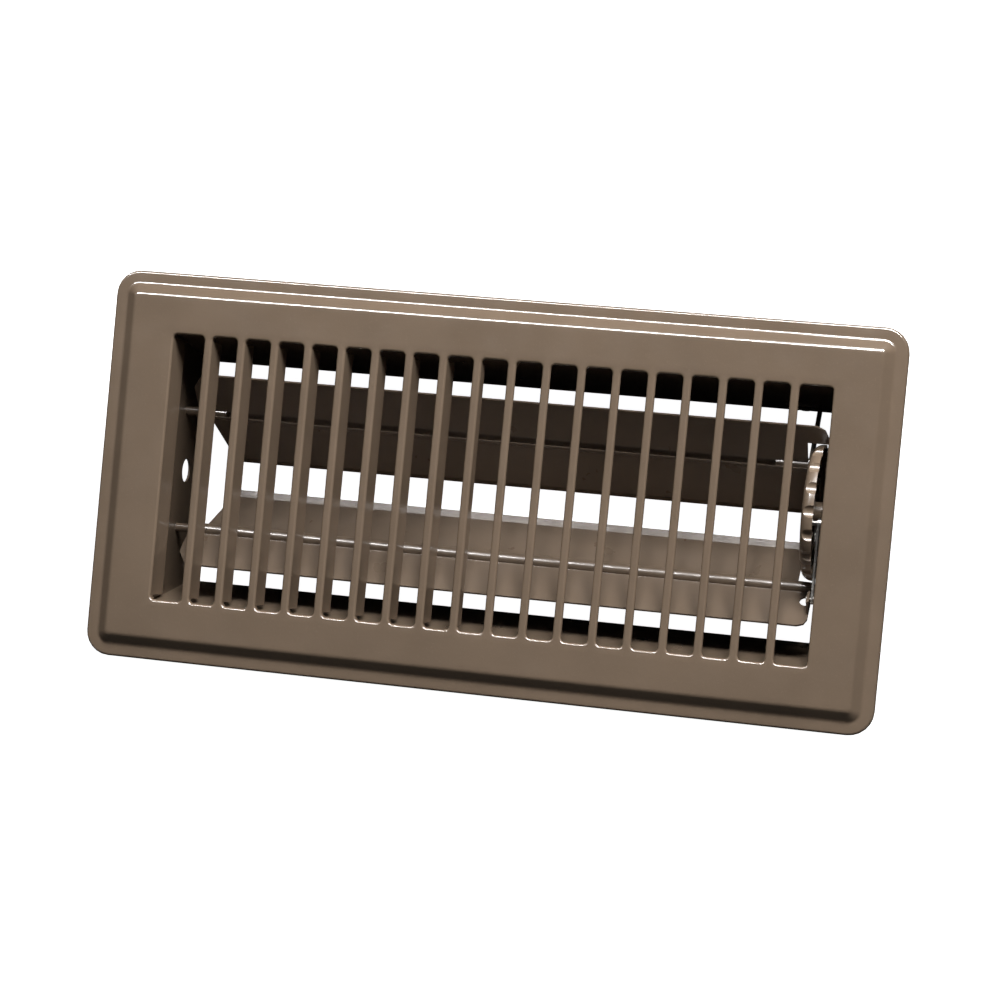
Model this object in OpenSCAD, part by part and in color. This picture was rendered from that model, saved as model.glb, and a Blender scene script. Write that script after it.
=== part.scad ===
// Drop-in floor register: a louvred faceplate over a damper box with two opposed blades,
// which a scalloped thumb wheel opens and closes.
// X runs along the faceplate, Y across it, and Z points out of the face. The origin is the
// centre of the faceplate's seat, the plane where its rolled edge rests on the floor.
// The damper is drawn open.

/* [Faceplate] */
// Length of the faceplate over its rolled edges
face_len = 292.1; // [280:0.1:305]
// Width of the faceplate over its rolled edges
face_wid = 142.9; // [132:0.1:150]
// Height of the raised panel above the floor
face_h = 5; // [4:0.1:7]
// Height of the outer band above the floor
band_h = 2; // [1.5:0.1:3]
// Width of the outer band
band_w = 4.6; // [3:0.1:8]
// Width of the sloped step between the band and the raised panel
step_w = 3.8; // [3:0.1:8]
// Radius of the faceplate's corners
corner_r = 9; // [6:0.5:14]
// Sheet thickness of the faceplate
face_t = 0.9; // [0.6:0.1:1.2]

/* [Louvres] */
// Number of slots, which is odd
slot_n = 19; // [19:2:19]
// Distance from one bar to the next
pitch = 12.7; // [12:0.1:13]
// Width of a bar seen from the front
bar_w = 3.1; // [2:0.1:5]
// Half the length of a slot
slot_half = 49; // [40:0.1:49.2]
// Half the length of the field of slots
field_half = 121.4; // [120.8:0.1:121.5]
// Depth of the louvre fins below the front of the bars
fin_d = 9.4; // [6:0.1:9.6]
// Depth of the lips at the ends of the slots
lip_d = 2.6; // [1.5:0.1:4]
// Thickness of the fins, the lips and the damper box
sheet = 0.8; // [0.6:0.1:0.8]

/* [Damper box] */
// Depth of the box below the floor
box_d = 43.5; // [43.5:0.5:60]
// Half the inner width of the box at its rear edge
rear_half = 42.2; // [42:0.1:47]
// Radius of the round hole in the left end wall
wall_hole_r = 4.5; // [2:0.05:5]

/* [Blades] */
// How far the blades turn from closed to open, in degrees
open_deg = 46; // [46:1:46]
// Distance of each blade's pivot from the centre line
pivot_y = 22; // [22:0.1:22]
// Depth of the pivots below the floor
pivot_z = 20.7; // [20.7:0.1:20.7]
// Width of a blade from its pivot to its inner edge
blade_in = 23.6; // [23:0.1:23.6]
// Width of a blade from its pivot to its outer edge
blade_out = 19.2; // [17:0.1:19.2]
// Radius of the pivot pins
pin_r = 1.6; // [1.6:0.05:1.6]

/* [Thumb wheel] */
// Turn of the wheel from open to closed, in degrees
wheel_deg = 46; // [46:1:46]
// Offset of the wheel's axle from the centre line
wheel_y = 5.2; // [5.2:0.1:5.2]
// Depth of the wheel's axle below the floor
wheel_z = 18.9; // [18.9:0.1:18.9]
// Radius of the wheel over its scallops
wheel_r = 24.4; // [22:0.1:24.4]
// Number of scallops round the wheel
scallops = 18; // [12:1:24]
// Radius of the wheel's axle
axle_r = 2; // [1.5:0.1:2.5]

/* [Hidden] */

$fn = 48;
EPS = 0.01;
RUN = 0.05;
paint = [0.48, 0.41, 0.35];
steel = [0.72, 0.71, 0.68];

// Faceplate levels and insets from the outer edge
panel_under = face_h - face_t;
panel_inset = band_w + step_w;
slot_w = pitch - bar_w;
bar_n = slot_n - 1;

// Damper box
wall_top_half = slot_half + 1.1;
end_x = field_half + sheet + 0.1;
wall_slope = (wall_top_half - rear_half) / (panel_under + box_d);
wall_tilt = atan(wall_slope);
flange_w = 6;
tab_w = 12;
lift_hole_y = -0.5;
lift_hole_z = 26;
fin_lean = 0.7;

// Blades
bead_r = 2.4;
joggle = 1.6;
edge_w = 3;
edge_deg = 18;
blade_end = 118.4;
upper_end = 121;
blade_left = 117;
inner_end = 112.2;
end_taper = 0.3;
corner_clip = 4;
notch_v = 7;
notch_r = 2.2;
wheel_relief = 11.2;
pin_in = 12;
wall_hole = pin_r + RUN;

// Drive: the finger rides in the wheel's slot, and the link joins the wheel to the ear
finger_v = 8;
finger_r = 1.2;
ear_v = 9.5;
ear_n = 4;
ear_w = 5.6;
link_x = 118.9;
link_t = 0.7;
link_w = 3.4;
link_pin_r = 1;
web_x = 114;
web_t = 1.2;
rim_x = 118.4;
skirt_t = 2.2;
boss_r = 4;
boss_end = 121.1;
bracket_x = 112.6;

// Point of the ear's pin from the lower blade's pivot, with the blade turned by a degrees
function ear_at(a) = [-ear_v * cos(a) + ear_n * sin(a), ear_v * sin(a) + ear_n * cos(a)];
// The crank is parallel to the ear and as long, so the link joins them as a parallelogram
crank_y = ear_at(open_deg)[0];
crank_z = ear_at(open_deg)[1];
// Point of the finger from the wheel's axle, as the wheel sees it, at part s of its travel
function finger_n() = -finger_r + joggle - sheet / 2;
function turned(p, a) = [p[0] * cos(a) - p[1] * sin(a), p[0] * sin(a) + p[1] * cos(a)];
function finger_abs(a) = [pivot_y - finger_v * cos(a) - finger_n() * sin(a),
    -pivot_z - finger_v * sin(a) + finger_n() * cos(a)];
function finger_at(s) = turned(finger_abs(open_deg * (1 - s)) - [wheel_y, -wheel_z],
    -wheel_deg * s);
function bar_x(i) = (i - (bar_n - 1) / 2) * pitch;
function wall_y(z) = rear_half + (z + box_d) * wall_slope;

// A plan outline of the faceplate, set in from its edge
module plan(inset) {
    r = max(corner_r - inset, 1.5);
    x = face_len / 2 - inset - r;
    y = face_wid / 2 - inset - r;
    square([2 * x, 2 * (y + r)], center = true);
    square([2 * (x + r), 2 * y], center = true);
    for (i = [-1, 1], j = [-1, 1])
        translate([i * x, j * y]) circle(r);
}

// A flat part of the faceplate between two insets and two levels
module ring(inset_a, inset_b, z0, z1) {
    translate([0, 0, z0])
        linear_extrude(z1 - z0)
            difference() {
                plan(inset_a);
                plan(inset_b);
            }
}

// The solid under a sloped step, from inset_a at z0 to inset_b at z1
module frustum(inset_a, inset_b, z0, z1) {
    hull() {
        translate([0, 0, z0]) linear_extrude(EPS) plan(inset_a, $fn = 32);
        translate([0, 0, z1 - EPS]) linear_extrude(EPS) plan(inset_b, $fn = 32);
    }
}

// A rectangle with four rounded corners, from corner to corner
module rounded(x0, x1, half, r) {
    translate([x0, -half + r]) square([x1 - x0, 2 * (half - r)]);
    translate([x0 + r, -half]) square([x1 - x0 - 2 * r, 2 * half]);
    for (x = [x0 + r, x1 - r], y = [-half + r, half - r])
        translate([x, y]) circle(r);
}

function slot_left(k) = k == 0 ? -field_half : bar_x(k - 1) + bar_w / 2;
function slot_right(k) = k == slot_n - 1 ? field_half : bar_x(k) - bar_w / 2;

// A plate that hangs from the panel's underside, from x0 to x1 and down by d from the front
module hanging(x0, x1, y0, y1, d) {
    translate([x0, y0, face_h - d]) cube([x1 - x0, y1 - y0, d - face_t + EPS]);
}

// A fin from x0 to x1, with its foot d below the front of the bars and shifted by lean
module fin(x0, x1, half, d, lean) {
    rotate([90, 0, 0])
        linear_extrude(2 * half, center = true)
            polygon([[x0, panel_under + EPS], [x1, panel_under + EPS],
                [x1 + lean, face_h - d], [x0 + lean, face_h - d]]);
}

// The fin or fins folded down from one slot
module fins(k) {
    mid = (slot_n - 1) / 2;
    a = slot_left(k);
    b = slot_right(k);
    h = slot_half - 1;
    d = k == 0 || k == slot_n - 1 ? b - a : fin_d;
    if (k < mid) fin(a - sheet, a, h, d, fin_lean);
    if (k > mid) fin(b, b + sheet, h, d, -fin_lean);
    if (k == mid) {
        fin(a - sheet, a, h, (b - a) / 2, fin_lean / 2);
        fin(b, b + sheet, h, (b - a) / 2, -fin_lean / 2);
    }
}

module face_plate() {
    slope_t = face_t * 1.1;
    color(paint) {
        // rolled edge and outer band
        ring(0, face_t, 0, band_h);
        ring(face_t - EPS, band_w + 1, band_h - face_t, band_h);
        // sloped step
        difference() {
            frustum(band_w, panel_inset, band_h - face_t, face_h);
            frustum(band_w + slope_t, panel_inset + slope_t, band_h - face_t - EPS, panel_under);
            translate([0, 0, panel_under - EPS]) linear_extrude(2) plan(panel_inset + slope_t);
        }
        // raised panel with its slots
        translate([0, 0, panel_under])
            linear_extrude(face_t)
                difference() {
                    plan(panel_inset + face_t / 2);
                    for (k = [0:slot_n - 1])
                        rounded(slot_left(k), slot_right(k), slot_half, 1.6);
                }
        for (k = [0:slot_n - 1]) {
            fins(k);
            for (m = [0, 1])
                mirror([0, m, 0])
                    hanging(slot_left(k) + 1.2, slot_right(k) - 1.2, slot_half,
                        slot_half + sheet, lip_d);
        }
    }
}

// Cross-section of a long wall, tapered inwards to the rear, with its top flange
module wall_section() {
    polygon([[wall_top_half, panel_under], [wall_top_half + flange_w, panel_under],
        [wall_top_half + flange_w, panel_under - sheet],
        [wall_y(panel_under - sheet) + sheet, panel_under - sheet],
        [rear_half + sheet, -box_d], [rear_half, -box_d]]);
}

// Outline of the tab that a long wall folds round the corner of the box
module tab_section() {
    polygon([[wall_y(0) + sheet, 0], [wall_y(0) - tab_w, 0], [rear_half - tab_w, 2 - box_d],
        [wall_y(2 - box_d) + sheet, 2 - box_d]]);
}

module along_x(x0, x1) {
    translate([x0, 0, 0]) rotate([90, 0, 90]) linear_extrude(x1 - x0) children();
}

function rivet_z() = [-10, 8 - box_d];
function rivet_y(z) = wall_y(z) - tab_w / 2;

module rivet_holes(r) {
    for (i = [-1, 1], z = rivet_z())
        translate([i * (end_x + sheet), rivet_y(z), z])
            rotate([0, 90, 0]) cylinder(r = r, h = 4, center = true);
}

module bracket_holes(r) {
    for (x = [103.5, 107.5])
        translate([x, wall_y(-36), -36])
            rotate([90 - wall_tilt, 0, 0]) cylinder(r = r, h = 6, center = true);
}

module long_wall() {
    difference() {
        union() {
            along_x(-end_x - sheet, end_x + sheet) wall_section();
            along_x(end_x + sheet, end_x + 2 * sheet) tab_section();
            along_x(-end_x - 2 * sheet, -end_x - sheet) tab_section();
        }
        rivet_holes(1.5);
    }
}

module long_wall_top() {
    color(paint)
        difference() {
            long_wall();
            bracket_holes(1.2);
        }
}

module long_wall_bottom() {
    color(paint) mirror([0, 1, 0]) long_wall();
}

module end_plate() {
    polygon([[-wall_top_half, panel_under], [wall_top_half, panel_under],
        [rear_half, -box_d], [-rear_half, -box_d]]);
}

// A hole along X at y, z through an end wall
module end_hole(y, z, r) {
    translate([0, y, z]) rotate([0, 90, 0]) cylinder(r = r, h = 300, center = true);
}

module end_wall(x) {
    difference() {
        along_x(x, x + sheet) end_plate();
        rivet_holes(1.5);
        mirror([0, 1, 0]) rivet_holes(1.5);
        children();
    }
}

module end_wall_left() {
    color(paint)
        end_wall(-end_x - sheet) {
            end_hole(lift_hole_y, -lift_hole_z, wall_hole_r);
            end_hole(pivot_y, -pivot_z, wall_hole);
            end_hole(-pivot_y, -pivot_z, wall_hole);
        }
}

module end_wall_right() {
    color(paint)
        end_wall(end_x) {
            end_hole(wheel_y, -wheel_z, axle_r);
            end_hole(-pivot_y, -pivot_z, wall_hole);
        }
}

// One rivet along +X with its formed head inside at x = 0 and its round head at x = grip
module rivet(r, grip) {
    rotate([0, 90, 0]) {
        cylinder(r = r, h = grip);
        translate([0, 0, -0.6]) cylinder(r = r * 1.6, h = 0.6);
        translate([0, 0, grip]) cylinder(r1 = r * 1.9, r2 = r * 1.2, h = 0.9);
    }
}

module corner_rivets() {
    color(paint)
        for (i = [0, 1], j = [0, 1], z = rivet_z())
            mirror([i, 0, 0]) mirror([0, j, 0])
                translate([end_x, rivet_y(z), z]) rivet(1.5, 2 * sheet);
}

// Section of a blade in its own plane: v towards the inner edge, n out of the outer half
module blade_section() {
    h = sheet / 2;
    mid = joggle;
    // the inner edge is bent down in a narrow strip that seals against the other blade
    edge_v = blade_in - edge_w * cos(edge_deg);
    edge_n = mid - edge_w * sin(edge_deg);
    skew = h * tan(edge_deg / 2);
    tip = [h * sin(edge_deg), h * cos(edge_deg)];
    difference() {
        union() {
            translate([-blade_out, -h]) square([blade_out - bead_r + h, sheet]);
            polygon([[1.5, mid - h], [edge_v - skew, mid - h], [blade_in, edge_n] - tip,
                [blade_in, edge_n] + tip, [edge_v + skew, mid + h], [1.5, mid + h]]);
            circle(bead_r);
        }
        circle(bead_r - sheet);
        translate([-bead_r, h]) square([bead_r + EPS, bead_r]);
        translate([-EPS, joggle + h]) square([bead_r, bead_r]);
        translate([-bead_r + 2 * h, -h]) square([bead_r, sheet + EPS]);
    }
}

// Plan of a blade, with v towards its inner edge, its right end at end with the outline of
// its right outer corner given, and a tapered and clipped left end
module blade_plan(end, corner) {
    clip_v = 1.6 * corner_clip - blade_out;
    tip_v = blade_in + 0.5;
    polygon(concat(corner, [[end, 1], [inner_end, 1.5], [inner_end, tip_v],
        [end_taper * tip_v - inner_end, tip_v], [-inner_end, 1.5], [-blade_left, 1],
        [-blade_left, clip_v], [corner_clip - blade_left, -blade_out]]));
}

// The blade closed, with its pivot on the X axis and its inner edge towards -Y
module blade(end, corner) {
    intersection() {
        rotate([90, 0, -90])
            translate([0, 0, -150]) linear_extrude(300) blade_section();
        translate([0, 0, -6]) linear_extrude(12) mirror([0, 1, 0])
            blade_plan(end, corner);
    }
}

module upper_place() {
    translate([0, pivot_y, -pivot_z]) rotate([open_deg, 0, 0]) children();
}

module lower_place() {
    translate([0, -pivot_y, -pivot_z]) rotate([180 - open_deg, 0, 0]) children();
}

module upper_blade() {
    color(paint)
        upper_place()
            difference() {
                blade(upper_end, [[upper_end - 5.2, -blade_out], [upper_end - 2.4,
                    1.8 - blade_out], [upper_end, 9 - blade_out]]);
                // room for the thumb wheel and the pivot bracket
                translate([inner_end, -blade_in - 1, -6])
                    cube([20, blade_in + 1 + wheel_relief, 12]);
            }
}

module lower_blade() {
    color(paint)
        lower_place() {
            difference() {
                blade(blade_end, [[blade_end - 3.4, -blade_out], [blade_end - 1,
                    1 - blade_out], [blade_end, 3.4 - blade_out]]);
                translate([blade_end - 1.8, notch_v, 0])
                    cylinder(r = notch_r, h = 12, center = true);
            }
            // ear folded up at the blade's end for the link, beside its relief notch
            difference() {
                translate([blade_end - sheet, ear_v - 2, -ear_n - 2.2])
                    cube([sheet, ear_w, ear_n + 2.2 + sheet / 2]);
                translate([0, ear_v, -ear_n]) rotate([0, 90, 0])
                    cylinder(r = link_pin_r, h = 130);
            }
        }
}

// A pivot pin on the X axis, from its tail at x = 0 to a shoulder outside a wall at x = wall
module pivot_pin(wall) {
    rotate([0, 90, 0]) {
        cylinder(r = pin_r, h = wall + sheet + 0.4);
        translate([0, 0, wall + sheet + 0.35]) cylinder(r = 2.4, h = 0.8);
    }
}

module left_pin() {
    mirror([1, 0, 0]) translate([end_x - pin_in - 4, 0, 0]) pivot_pin(pin_in + 4);
}

module upper_pivot_left() {
    color(paint) upper_place() left_pin();
}

module lower_pivot_left() {
    color(paint) lower_place() left_pin();
}

module upper_pivot_right() {
    color(paint)
        upper_place()
            translate([bracket_x - pin_in, 0, 0]) rotate([0, 90, 0])
                cylinder(r = pin_r, h = pin_in + sheet);
}

module lower_pivot_right() {
    color(paint)
        lower_place()
            translate([end_x - pin_in - 4, 0, 0]) pivot_pin(pin_in + 4);
}

module drive_finger() {
    color(paint)
        upper_place()
            translate([100, -finger_v, finger_n()]) rotate([0, 90, 0])
                cylinder(r = finger_r, h = 16.6);
}

module ear_rivet() {
    p = ear_at(open_deg);
    color(paint)
        translate([blade_end - sheet, p[0] - pivot_y, p[1] - pivot_z])
            rivet_pin(link_x + link_t - blade_end + sheet);
}

// A pin along X with a thin head, which holds the link on
module rivet_pin(h) {
    rotate([0, 90, 0]) {
        cylinder(r = link_pin_r, h = h + 0.1);
        translate([0, 0, h + 0.05]) cylinder(r = 1.7, h = 0.5);
        translate([0, 0, -0.4]) cylinder(r = 1.7, h = 0.4);
    }
}

// Strap from the upper blade's right pivot to the top long wall
module pivot_bracket() {
    reach = 25.6;
    dip = 35;
    half = 3.6;
    color(paint)
        difference() {
            union() {
                intersection() {
                    translate([bracket_x, pivot_y, -pivot_z])
                        rotate([-dip, 0, 0])
                            rotate([90, 0, 90]) linear_extrude(sheet) {
                                circle(half);
                                translate([0, -half]) square([reach + 6, 2 * half]);
                            }
                    along_x(bracket_x - 1, bracket_x + 2)
                        polygon([[0, 0], [wall_y(0), 0], [wall_y(-40), -40], [0, -40]]);
                }
                along_x(100.5, bracket_x + sheet)
                    polygon([[wall_y(-39.5), -39.5], [wall_y(-32), -32],
                        [wall_y(-32) - sheet, -32], [wall_y(-39.5) - sheet, -39.5]]);
            }
            end_hole(pivot_y, -pivot_z, wall_hole);
            bracket_holes(1.2);
        }
}

module bracket_rivets() {
    grip = 2 * sheet * cos(wall_tilt) + 0.02;
    color(paint)
        for (x = [103.5, 107.5])
            translate([x, wall_y(-36), -36])
                rotate([-wall_tilt, 0, 0]) rotate([0, 0, 90])
                    translate([-grip / 2, 0, 0]) rivet(1.2, grip);
}

// Half-section of the wheel: radius first, then distance along the axle from the web
module wheel_section() {
    rim = rim_x - web_x;
    soft = 3.6;
    r = wheel_r;
    difference() {
        union() {
            square([r - soft - 0.6, web_t]);
            intersection() {
                translate([r - soft, soft]) circle(soft);
                square([r, soft + EPS]);
            }
            translate([r - soft - 0.6, 0]) square([0.7, soft]);
            translate([r - soft, soft]) square([soft, rim - soft]);
        }
        translate([0, web_t]) square([r - soft, rim]);
        translate([r - soft, soft]) circle(soft - web_t);
        translate([0, soft]) square([r - skirt_t, rim]);
        translate([r - soft, web_t]) square([soft - skirt_t, rim]);
    }
    square([boss_r, boss_end - web_x]);
}

module finger_slot() {
    a = finger_at(0);
    b = finger_at(1);
    m = finger_at(0.5);
    ang = atan2(b[1] - a[1], b[0] - a[0]);
    side = turned(m - a, -ang)[1] / 2;
    half = finger_r + abs(side) + 0.3;
    translate([a[0], a[1]]) rotate(ang) translate([0, side]) {
        circle(half);
        translate([norm(b - a), 0]) circle(half);
        translate([0, -half]) square([norm(b - a), 2 * half]);
    }
}

module thumb_wheel() {
    color(paint)
        difference() {
            translate([web_x, wheel_y, -wheel_z]) rotate([0, 90, 0])
                rotate_extrude($fn = 96) wheel_section();
            for (i = [0:scallops - 1])
                translate([web_x - 1, wheel_y, -wheel_z])
                    rotate([(i + 0.5) * 360 / scallops, 0, 0]) translate([0, wheel_r + 1.5, 0])
                        rotate([0, 90, 0]) cylinder(r = 2.7, h = 9);
            end_hole(wheel_y, -wheel_z, axle_r + RUN);
            translate([web_x - 1, wheel_y, -wheel_z]) rotate([90, 0, 90])
                linear_extrude(web_t + 1.5) finger_slot();
            end_hole(wheel_y + crank_y, -wheel_z + crank_z, link_pin_r);
        }
}

module crank_pin() {
    color(steel)
        translate([web_x, wheel_y + crank_y, -wheel_z + crank_z])
            rivet_pin(link_x + link_t - web_x);
}

module drive_link() {
    e = ear_at(open_deg);
    p = [wheel_y + crank_y, crank_z - wheel_z];
    q = [e[0] - pivot_y, e[1] - pivot_z];
    ang = atan2(q[1] - p[1], q[0] - p[0]);
    reach = norm(q - p);
    color(steel)
        translate([link_x, p[0], p[1]]) rotate([ang, 0, 0]) rotate([90, 0, 90])
            linear_extrude(link_t)
                difference() {
                    union() {
                        circle(link_w / 2);
                        translate([reach, 0]) circle(link_w / 2);
                        translate([0, -link_w / 2]) square([reach, link_w]);
                    }
                    circle(link_pin_r + RUN);
                    translate([reach, 0]) circle(link_pin_r + RUN);
                }
}

module wheel_axle() {
    color(paint)
        translate([0, wheel_y, -wheel_z]) rotate([0, 90, 0]) {
            translate([0, 0, web_x - 1.2]) cylinder(r = 3.2, h = 0.9);
            translate([0, 0, web_x - 0.4])
                cylinder(r = axle_r, h = end_x + sheet - web_x + 0.4);
            translate([0, 0, end_x + sheet]) cylinder(r1 = 3.4, r2 = 2.4, h = 0.9);
        }
}

module washer(x0, x1, r) {
    color(steel)
        translate([x0, wheel_y, -wheel_z]) rotate([0, 90, 0])
            linear_extrude(x1 - x0)
                difference() {
                    circle(r);
                    circle(axle_r);
                }
}

module wheel_washer() {
    washer(boss_end + 0.02, boss_end + 0.5, 5);
}

// A dished spring washer, drawn as the cone it is
module spring_washer() {
    x0 = boss_end + 0.52;
    color(steel)
        translate([0, wheel_y, -wheel_z]) rotate([0, 90, 0])
            rotate_extrude()
                polygon([[axle_r + 0.1, x0], [axle_r + 0.1, x0 + 0.3],
                    [5, end_x], [5, end_x - 0.3]]);
}

face_plate();
long_wall_top();
long_wall_bottom();
end_wall_left();
end_wall_right();
corner_rivets();
upper_blade();
upper_pivot_left();
upper_pivot_right();
drive_finger();
lower_blade();
lower_pivot_left();
lower_pivot_right();
ear_rivet();
pivot_bracket();
bracket_rivets();
thumb_wheel();
crank_pin();
drive_link();
wheel_axle();
wheel_washer();
spring_washer();
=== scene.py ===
import math

import bmesh
import bpy
from mathutils import Euler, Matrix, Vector


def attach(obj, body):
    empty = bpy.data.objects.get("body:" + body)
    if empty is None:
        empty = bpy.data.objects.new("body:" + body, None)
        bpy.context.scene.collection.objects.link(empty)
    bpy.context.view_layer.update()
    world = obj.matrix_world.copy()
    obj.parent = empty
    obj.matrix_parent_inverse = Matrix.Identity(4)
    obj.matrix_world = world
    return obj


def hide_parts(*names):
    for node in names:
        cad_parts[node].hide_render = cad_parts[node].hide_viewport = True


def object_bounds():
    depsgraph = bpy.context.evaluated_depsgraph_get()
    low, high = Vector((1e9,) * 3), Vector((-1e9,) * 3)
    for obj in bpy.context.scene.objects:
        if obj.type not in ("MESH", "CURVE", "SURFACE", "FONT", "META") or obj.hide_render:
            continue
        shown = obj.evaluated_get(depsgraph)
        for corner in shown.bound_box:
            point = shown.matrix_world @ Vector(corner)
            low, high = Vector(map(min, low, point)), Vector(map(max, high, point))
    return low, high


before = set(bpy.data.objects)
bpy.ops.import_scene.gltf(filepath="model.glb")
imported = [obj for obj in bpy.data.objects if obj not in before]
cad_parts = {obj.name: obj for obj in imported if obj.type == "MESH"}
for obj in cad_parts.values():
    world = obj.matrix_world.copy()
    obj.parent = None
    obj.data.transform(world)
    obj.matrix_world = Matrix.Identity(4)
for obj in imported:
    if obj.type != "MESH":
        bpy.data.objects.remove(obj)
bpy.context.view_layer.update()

MM = 0.001

# Sizes of the faceplate, in millimetres, as in the CAD
FACE_X, FACE_Y, FACE_Z = 146.05, 71.45, 5.0
CORNER_R = 9.0
SHEET = 0.9
BAND_Z, BAND_W, STEP_W = 2.0, 4.6, 3.8
UNDER_Z = FACE_Z - SHEET
PITCH, BAR_W, SLOT_N = 12.7, 3.1, 19
SLOT_HALF, FIELD_HALF, SLOT_R = 49.0, 121.4, 1.6
FIN_T, FIN_D, LIP_D, CUT_D, ROLL = 0.8, 9.4, 2.6, 1.35, 0.9
# How far a fin's foot leans into its slot, and the depth above which a flap counts as a fin
LEAN, FIN_FROM = 0.7, 4
# Rounding at the free edge of every flap, and the gap kept where a flap meets the underside
TIP, TIP_RISE, UNDER_GAP, FOOT_RISE = 0.16, 0.18, 0.12, 0.3
LEAN_AT_RISE = 0.97
# Where a fin stops, below the start of its slot's rounded corner
LIP_STOP, FIN_STOP = 0.02, 0.3
BLOCK_X, BLOCK_Y = 126.0, 52.0
STEPS = 6
# The studio, in metres
FLOOR_GAP, FLOOR_HALF = 0.0002, 3.0
STRIP_PLACE, STRIP_SIZE, STRIP_WATTS = (-0.12, 0.80, 0.95), (1.7, 0.14), 70
KEY_PLACE, KEY_SIZE, KEY_WATTS = (0.26, 1.10, 0.84), (0.5, 0.5), 25
SKY_STRENGTH = 0.03
CAMERA_PLACE, CAMERA_TURN_DEG = (0.2298, -0.0046, 1.0139), (-0.43, 13.25, 5.49)
LENS_MM, SENSOR_MM, SHIFT = 103.93, 36, (0.043, 0.092)


# ---------------------------------------------------------------- materials

def new_material(name):
    mat = bpy.data.materials.new(name)
    mat.use_nodes = True
    tree = mat.node_tree
    return mat, tree, tree.nodes["Principled BSDF"]


def noise(tree, coords, scale, detail=3.0, rough=0.5):
    node = tree.nodes.new("ShaderNodeTexNoise")
    node.inputs["Scale"].default_value = scale
    node.inputs["Detail"].default_value = detail
    node.inputs["Roughness"].default_value = rough
    tree.links.new(coords, node.inputs["Vector"])
    return node.outputs["Fac"]


def ramp(tree, fac, stops):
    node = tree.nodes.new("ShaderNodeValToRGB")
    while len(node.color_ramp.elements) > len(stops):
        node.color_ramp.elements.remove(node.color_ramp.elements[-1])
    while len(node.color_ramp.elements) < len(stops):
        node.color_ramp.elements.new(1.0)
    for element, (at, colour) in zip(node.color_ramp.elements, stops):
        element.position = at
        element.color = (*colour, 1.0)
    tree.links.new(fac, node.inputs["Fac"])
    return node.outputs["Color"]


def mix(tree, fac, a, b, kind="MIX"):
    node = tree.nodes.new("ShaderNodeMix")
    node.data_type = "RGBA"
    node.blend_type = kind
    for socket, value in ((node.inputs[0], fac), (node.inputs[6], a), (node.inputs[7], b)):
        if hasattr(value, "node"):
            tree.links.new(value, socket)
        elif isinstance(value, tuple):
            socket.default_value = (*value, 1.0)
        else:
            socket.default_value = value
    return node.outputs[2]


def paint(name, colour, gloss=0.19, wear=0.35, coat=0.6):
    """Baked gloss paint on sheet steel: faint mottling, orange peel, dust, and worn edges."""
    mat, tree, bsdf = new_material(name)
    link = tree.links.new
    coords = tree.nodes.new("ShaderNodeTexCoord").outputs["Object"]
    darker = tuple(c * 0.93 for c in colour)
    lighter = tuple(min(c * 1.06, 1.0) for c in colour)
    base = ramp(tree, noise(tree, coords, 38, 4), [(0.3, darker), (0.7, lighter)])
    flecks = noise(tree, coords, 1500, 2)
    base = mix(tree, ramp(tree, flecks, [(0.60, (0, 0, 0)), (0.78, (0.5, 0.5, 0.5))]), base,
               tuple(min(c * 1.16, 1.0) for c in colour))
    point = tree.nodes.new("ShaderNodeNewGeometry").outputs["Pointiness"]
    edge = ramp(tree, point, [(0.51, (0, 0, 0)), (0.60, (wear, wear, wear))])
    base = mix(tree, edge, base, tuple(min(c * 1.35, 1.0) for c in colour))
    link(base, bsdf.inputs["Base Color"])
    rough = ramp(tree, noise(tree, coords, 90, 5),
                 [(0.25, (gloss - 0.04,) * 3), (0.75, (gloss + 0.07,) * 3)])
    link(rough, bsdf.inputs["Roughness"])
    peel = tree.nodes.new("ShaderNodeBump")
    peel.inputs["Strength"].default_value = 0.12
    peel.inputs["Distance"].default_value = 0.00025
    link(noise(tree, coords, 620, 2, 0.4), peel.inputs["Height"])
    sag = tree.nodes.new("ShaderNodeBump")
    sag.inputs["Strength"].default_value = 0.10
    sag.inputs["Distance"].default_value = 0.0012
    link(noise(tree, coords, 42, 1), sag.inputs["Height"])
    link(peel.outputs["Normal"], sag.inputs["Normal"])
    link(sag.outputs["Normal"], bsdf.inputs["Normal"])
    bsdf.inputs["IOR"].default_value = 1.5
    bsdf.inputs["Coat Weight"].default_value = coat
    bsdf.inputs["Coat Roughness"].default_value = 0.08
    return mat


def plated(name, colour, rough=0.34):
    """Zinc-plated steel: soft mottling, fine drawing lines and a little tarnish."""
    mat, tree, bsdf = new_material(name)
    link = tree.links.new
    coords = tree.nodes.new("ShaderNodeTexCoord").outputs["Object"]
    stretch = tree.nodes.new("ShaderNodeMapping")
    stretch.inputs["Scale"].default_value = (0.15, 1.0, 1.0)
    link(coords, stretch.inputs["Vector"])
    base = ramp(tree, noise(tree, coords, 240, 4),
                [(0.3, tuple(c * 0.72 for c in colour)), (0.68, colour)])
    link(base, bsdf.inputs["Base Color"])
    grain = noise(tree, stretch.outputs["Vector"], 1900, 4, 0.6)
    link(ramp(tree, grain, [(0.3, (rough - 0.08,) * 3), (0.7, (rough + 0.14,) * 3)]),
         bsdf.inputs["Roughness"])
    bump = tree.nodes.new("ShaderNodeBump")
    bump.inputs["Strength"].default_value = 0.18
    bump.inputs["Distance"].default_value = 0.0001
    link(grain, bump.inputs["Height"])
    link(bump.outputs["Normal"], bsdf.inputs["Normal"])
    bsdf.inputs["Metallic"].default_value = 1.0
    return mat


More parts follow.
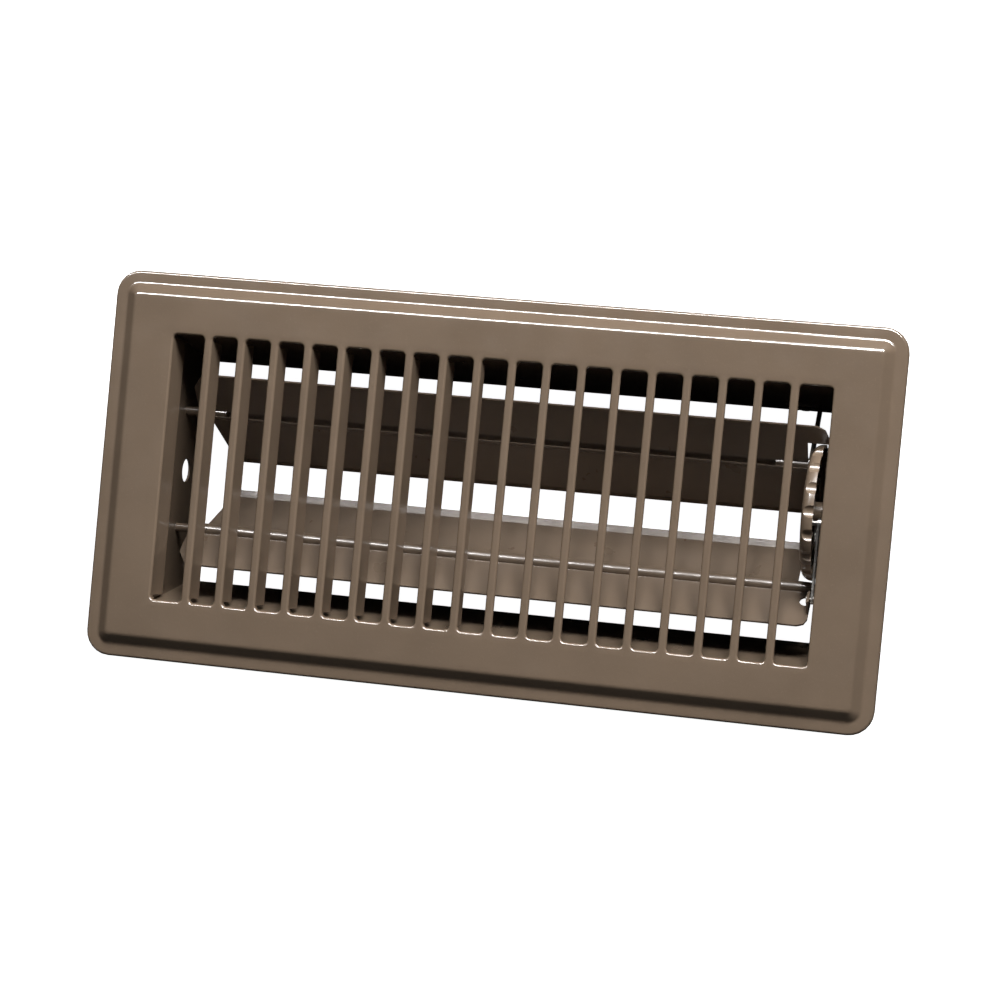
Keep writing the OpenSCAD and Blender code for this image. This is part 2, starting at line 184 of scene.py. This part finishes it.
TAUPE = (0.255, 0.188, 0.134)
face_paint = paint("taupe_gloss_face", TAUPE)
# A darker copy of the face's taupe paint at 0.62 times the colour: painted shade for the dim inside
# of the register, which carries the same paint as the face
shade_darkened_paint = paint("taupe_gloss_inner_painted_shade", tuple(c * 0.62 for c in TAUPE), 0.30, 0.35, 0.15)
wheel_paint = paint("taupe_gloss_wheel", TAUPE, 0.26, 0.5, 0.25)
zinc = plated("zinc_plated_steel", (0.56, 0.55, 0.52))


# ---------------------------------------------------------------- mesh tools

def make(name, points, faces, mat, body, sharp=38):
    mesh = bpy.data.meshes.new(name)
    mesh.from_pydata([tuple(c * MM for c in p) for p in points], [], faces)
    work = bmesh.new()
    work.from_mesh(mesh)
    bmesh.ops.remove_doubles(work, verts=work.verts, dist=1e-6)
    bmesh.ops.recalc_face_normals(work, faces=work.faces)
    work.to_mesh(mesh)
    work.free()
    mesh.shade_smooth()
    mesh.set_sharp_from_angle(angle=math.radians(sharp))
    mesh.materials.append(mat)
    obj = bpy.data.objects.new(name, mesh)
    bpy.context.scene.collection.objects.link(obj)
    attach(obj, body)
    return obj


class Shell:
    """Collects rings of points and the faces between them."""

    def __init__(self):
        self.points = []
        self.faces = []

    def ring(self, points):
        start = len(self.points)
        self.points.extend(points)
        return list(range(start, start + len(points)))

    def join(self, a, b, closed=True):
        n = len(a)
        for i in range(n if closed else n - 1):
            j = (i + 1) % n
            self.faces.append((a[i], a[j], b[j], b[i]))

    def loft(self, rings, closed=True):
        made = [self.ring(r) for r in rings]
        for a, b in zip(made, made[1:]):
            self.join(a, b, closed)
        return made


def arc(cx, cy, r, a0, a1, n):
    return [(cx + r * math.cos(math.radians(a0 + (a1 - a0) * i / n)),
             cy + r * math.sin(math.radians(a0 + (a1 - a0) * i / n))) for i in range(n + 1)]


def fillet(path, radii, n=5):
    """Rounds the inner corners of an open polyline."""
    out = [path[0]]
    for i in range(1, len(path) - 1):
        p = Vector(path[i])
        back = Vector(path[i - 1]) - p
        on = Vector(path[i + 1]) - p
        r = radii[i - 1]
        angle = back.angle(on)
        if r <= 0 or angle > math.pi - 0.02:
            out.append(tuple(p))
            continue
        reach = min(r / math.tan(angle / 2), back.length * 0.49, on.length * 0.49)
        r = reach * math.tan(angle / 2)
        centre = p + (back.normalized() + on.normalized()).normalized() * (r / math.sin(angle / 2))
        start = p + back.normalized() * reach - centre
        end = p + on.normalized() * reach - centre
        turn = start.angle_signed(end)
        for k in range(n + 1):
            t = -turn * k / n
            out.append((centre.x + start.x * math.cos(t) - start.y * math.sin(t),
                        centre.y + start.x * math.sin(t) + start.y * math.cos(t)))
    out.append(path[-1])
    return out


# ---------------------------------------------------------------- faceplate

def rounded_ring(hx, hy, r, z):
    """A rounded rectangle round the centre, corner by corner from +X +Y."""
    points = []
    for k, (sx, sy) in enumerate(((1, 1), (-1, 1), (-1, -1), (1, -1))):
        points += [(x, y, z) for x, y in arc(sx * (hx - r), sy * (hy - r), r,
                                              90 * k, 90 * k + 90, STEPS)]
    return points


def square_ring(x0, x1, y0, y1, cx0, cx1, cy0, cy1, z):
    """The same number of points on a plain rectangle, split beside each inner corner."""
    half = STEPS // 2
    corners = []
    for k, (x, y, cx, cy) in enumerate(((x1, y1, cx1, cy1), (x0, y1, cx0, cy1),
                                         (x0, y0, cx0, cy0), (x1, y0, cx1, cy0))):
        side = [(x, cy + (y - cy) * i / half, z) for i in range(half + 1)]
        end = [(x + (cx - x) * (i + 1) / half, y, z) for i in range(half)]
        ring = side + end
        corners.append(ring if k in (0, 2) else list(reversed(ring)))
    return corners[0] + corners[1] + corners[2] + corners[3]


def slot_span(k):
    def bar(i):
        return (i - (SLOT_N - 2) / 2) * PITCH
    left = -FIELD_HALF if k == 0 else bar(k - 1) + BAR_W / 2
    right = FIELD_HALF if k == SLOT_N - 1 else bar(k) - BAR_W / 2
    return left, right


def slot_depths(k):
    """Depth of the flap on the left and on the right side of a slot."""
    left, right = slot_span(k)
    middle = (SLOT_N - 1) // 2
    deep = right - left if k in (0, SLOT_N - 1) else FIN_D
    if k < middle:
        return deep, CUT_D
    if k > middle:
        return CUT_D, deep
    return (right - left) / 2, (right - left) / 2


def face_plate():
    shell = Shell()
    # outer skin, from the inside of the underside round the hem to the raised panel
    slope = SHEET * 1.1
    under = [(BAND_W + STEP_W + slope + 0.9, UNDER_Z), (BAND_W + STEP_W + slope, UNDER_Z),
             (BAND_W + slope, BAND_Z - SHEET), (SHEET + 0.02, BAND_Z - SHEET), (SHEET + 0.02, 0.02),
             (0.02, 0.0), (0.0, BAND_Z), (BAND_W, BAND_Z), (BAND_W + STEP_W, FACE_Z),
             (BAND_W + STEP_W + 2.4, FACE_Z)]
    profile = fillet(under, [0.6, 1.2, 0.2, 0.2, 0.3, 0.95, 2.2, 2.6], 6)
    rings = []
    for inset, z in profile:
        r = max(CORNER_R - inset, 1.7)
        rings.append(rounded_ring(FACE_X - inset, FACE_Y - inset, r, z))
    made = shell.loft(rings)
    block = dict(x0=-BLOCK_X, x1=BLOCK_X, y0=-BLOCK_Y, y1=BLOCK_Y,
                 cx0=-BLOCK_X, cx1=BLOCK_X, cy0=-BLOCK_Y, cy1=BLOCK_Y)
    top = shell.ring(square_ring(z=FACE_Z, **block))
    low = shell.ring(square_ring(z=UNDER_Z, **block))
    shell.join(made[-1], top)
    shell.join(low, made[0])
    # the panel slot by slot, each edge rolled down into a fin, a lip or a cut edge
    for k in range(SLOT_N):
        left, right = slot_span(k)
        fin_left, fin_right = slot_depths(k)
        cell0 = -BLOCK_X if k == 0 else left - BAR_W / 2
        cell1 = BLOCK_X if k == SLOT_N - 1 else right + BAR_W / 2
        cx, hx = (left + right) / 2, (right - left) / 2
        outline = []
        spots = ((1, 1), (-1, 1), (-1, -1), (1, -1))
        for q, (sx, sy) in enumerate(spots):
            depth = fin_right if sx > 0 else fin_left
            corner = []
            centre = (cx + sx * (hx - SLOT_R), sy * (SLOT_HALF - SLOT_R))
            for i in range(STEPS + 1):
                a = math.radians(90 * q + 90 * i / STEPS)
                corner.append((centre[0] + SLOT_R * math.cos(a), centre[1] + SLOT_R * math.sin(a),
                               math.cos(a), math.sin(a), LIP_D))
            side_x = cx + sx * hx
            extra = [(side_x, sy * (SLOT_HALF - SLOT_R - LIP_STOP), float(sx), 0.0, LIP_D),
                     (side_x, sy * (SLOT_HALF - SLOT_R - FIN_STOP), float(sx), 0.0, depth)]
            outline.append(list(reversed(extra)) + corner if q in (0, 2) else corner + extra)
        flat = [p for part in outline for p in part]

        def cell(z):
            points = []
            for q, (sx, sy) in enumerate(spots):
                half = STEPS // 2
                x = cell1 if sx > 0 else cell0
                in_x = cx + sx * (hx - SLOT_R)
                in_y = sy * (SLOT_HALF - SLOT_R)
                y = sy * BLOCK_Y
                side = [(x, in_y + (y - in_y) * i / half, z) for i in range(half + 1)]
                end = [(x + (in_x - x) * (i + 1) / half, y, z) for i in range(half)]
                extra = [(x, sy * (SLOT_HALF - SLOT_R - LIP_STOP), z),
                         (x, sy * (SLOT_HALF - SLOT_R - FIN_STOP), z)]
                part = list(reversed(extra)) + side + end
                points += part if q in (0, 2) else list(reversed(part))
            return points

        def lean(d):
            return min(LEAN, LEAN * d / FIN_D) if d > FIN_FROM else 0.0

        def around(offset, height, foot=0.0):
            return [(x + nx * (offset - foot * lean(d)), y + ny * offset, height(d))
                    for x, y, nx, ny, d in flat]

        rings = [cell(FACE_Z)]
        for i in range(0, 6):
            a = math.radians(18 * i)
            rings.append(around(ROLL - ROLL * math.sin(a),
                                lambda d, a=a: FACE_Z - ROLL + ROLL * math.cos(a)))
        rings.append(around(0.0, lambda d: FACE_Z - d + TIP_RISE, 1.0))
        rings.append(around(TIP, lambda d: FACE_Z - d, 1.0))
        rings.append(around(FIN_T - TIP, lambda d: FACE_Z - d, 1.0))
        rings.append(around(FIN_T, lambda d: FACE_Z - d + TIP_RISE, 1.0))
        rings.append(around(FIN_T, lambda d: min(UNDER_Z - UNDER_GAP, FACE_Z - d + FOOT_RISE),
                            LEAN_AT_RISE))
        rings.append(around(FIN_T + UNDER_GAP, lambda d: UNDER_Z))
        rings.append(cell(UNDER_Z))
        shell.loft(rings)
    obj = make("faceplate_pressing", shell.points, shell.faces, face_paint, "frame")
    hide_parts("face_plate")


face_plate()

# ---------------------------------------------------------------- carried-over CAD nodes

# The walls, blades, pins and rivets inside take the darkened copy of the paint, which is painted
# shade for the inside of the box
PAINTED = {"long_wall_top": shade_darkened_paint, "long_wall_bottom": shade_darkened_paint,
           "end_wall_left": shade_darkened_paint, "end_wall_right": shade_darkened_paint,
           "upper_blade": shade_darkened_paint, "lower_blade": shade_darkened_paint,
           "pivot_bracket": shade_darkened_paint, "thumb_wheel": wheel_paint,
           "upper_pivot_left": shade_darkened_paint, "upper_pivot_right": shade_darkened_paint,
           "lower_pivot_left": shade_darkened_paint, "lower_pivot_right": shade_darkened_paint,
           "drive_finger": shade_darkened_paint, "ear_rivet": shade_darkened_paint,
           "corner_rivets": shade_darkened_paint, "bracket_rivets": shade_darkened_paint,
           "wheel_axle": shade_darkened_paint}
for name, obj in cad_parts.items():
    if name == "face_plate":
        continue
    mat = PAINTED.get(name, zinc)
    for slot_ in obj.material_slots:
        slot_.link = "OBJECT"
        slot_.material = mat
    if not obj.material_slots:
        obj.data.materials.append(mat)

# ---------------------------------------------------------------- stage, light and camera

floor_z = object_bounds()[0][2] - FLOOR_GAP


def floor():
    mesh = bpy.data.meshes.new("studio_floor")
    work = bmesh.new()
    bmesh.ops.create_grid(work, x_segments=8, y_segments=8, size=FLOOR_HALF)
    work.to_mesh(mesh)
    work.free()
    obj = bpy.data.objects.new("studio_floor", mesh)
    obj.location = (0, 0, floor_z)
    bpy.context.scene.collection.objects.link(obj)
    mat, tree, bsdf = new_material("studio_white")
    coords = tree.nodes.new("ShaderNodeTexCoord").outputs["Object"]
    tone = ramp(tree, noise(tree, coords, 3, 2),
                [(0.3, (0.86, 0.86, 0.86)), (0.7, (0.9, 0.9, 0.9))])
    tree.links.new(tone, bsdf.inputs["Base Color"])
    bsdf.inputs["Roughness"].default_value = 0.8
    bsdf.inputs["Emission Color"].default_value = (1, 1, 1, 1)
    bsdf.inputs["Emission Strength"].default_value = 1.0
    mesh.materials.append(mat)
    obj.visible_diffuse = False
    obj.visible_glossy = False


floor()


def area(name, place, size, watts, colour):
    """A rectangular lamp aimed at the middle of the part."""
    light = bpy.data.lights.new(name, "AREA")
    light.shape = "RECTANGLE"
    light.size, light.size_y = size
    light.energy = watts
    light.color = colour
    obj = bpy.data.objects.new(name, light)
    obj.location = place
    way = -Vector(place)
    obj.rotation_euler = way.to_track_quat("-Z", "Y").to_euler()
    bpy.context.scene.collection.objects.link(obj)
    return obj


strip = area("strip_glint", STRIP_PLACE, STRIP_SIZE, STRIP_WATTS, (1.0, 0.98, 0.98))
strip.visible_diffuse = False
area("soft_key", KEY_PLACE, KEY_SIZE, KEY_WATTS, (1.0, 0.985, 0.965))

world = bpy.data.worlds.new("studio")
world.use_nodes = True
sky = world.node_tree
split = sky.nodes.new("ShaderNodeSeparateXYZ")
sky.links.new(sky.nodes.new("ShaderNodeTexCoord").outputs["Generated"], split.inputs["Vector"])
fade = ramp(sky, split.outputs["Z"], [(0.0, (0.03, 0.03, 0.03)), (0.25, (1.0, 0.99, 0.97))])
sky.links.new(fade, sky.nodes["Background"].inputs["Color"])
world.node_tree.nodes["Background"].inputs["Strength"].default_value = SKY_STRENGTH
bpy.context.scene.world = world
bpy.context.scene.view_settings.view_transform = "Standard"

camera = bpy.data.cameras.new("photo_camera")
camera.sensor_width = SENSOR_MM
camera.lens = LENS_MM
camera.shift_x, camera.shift_y = SHIFT
camera.clip_start = 0.05
camera.dof.use_dof = False
camera_obj = bpy.data.objects.new("photo_camera", camera)
camera_obj.location = CAMERA_PLACE
camera_obj.rotation_euler = Euler([math.radians(a) for a in CAMERA_TURN_DEG], "XYZ")
bpy.context.scene.collection.objects.link(camera_obj)
bpy.context.scene.camera = camera_obj
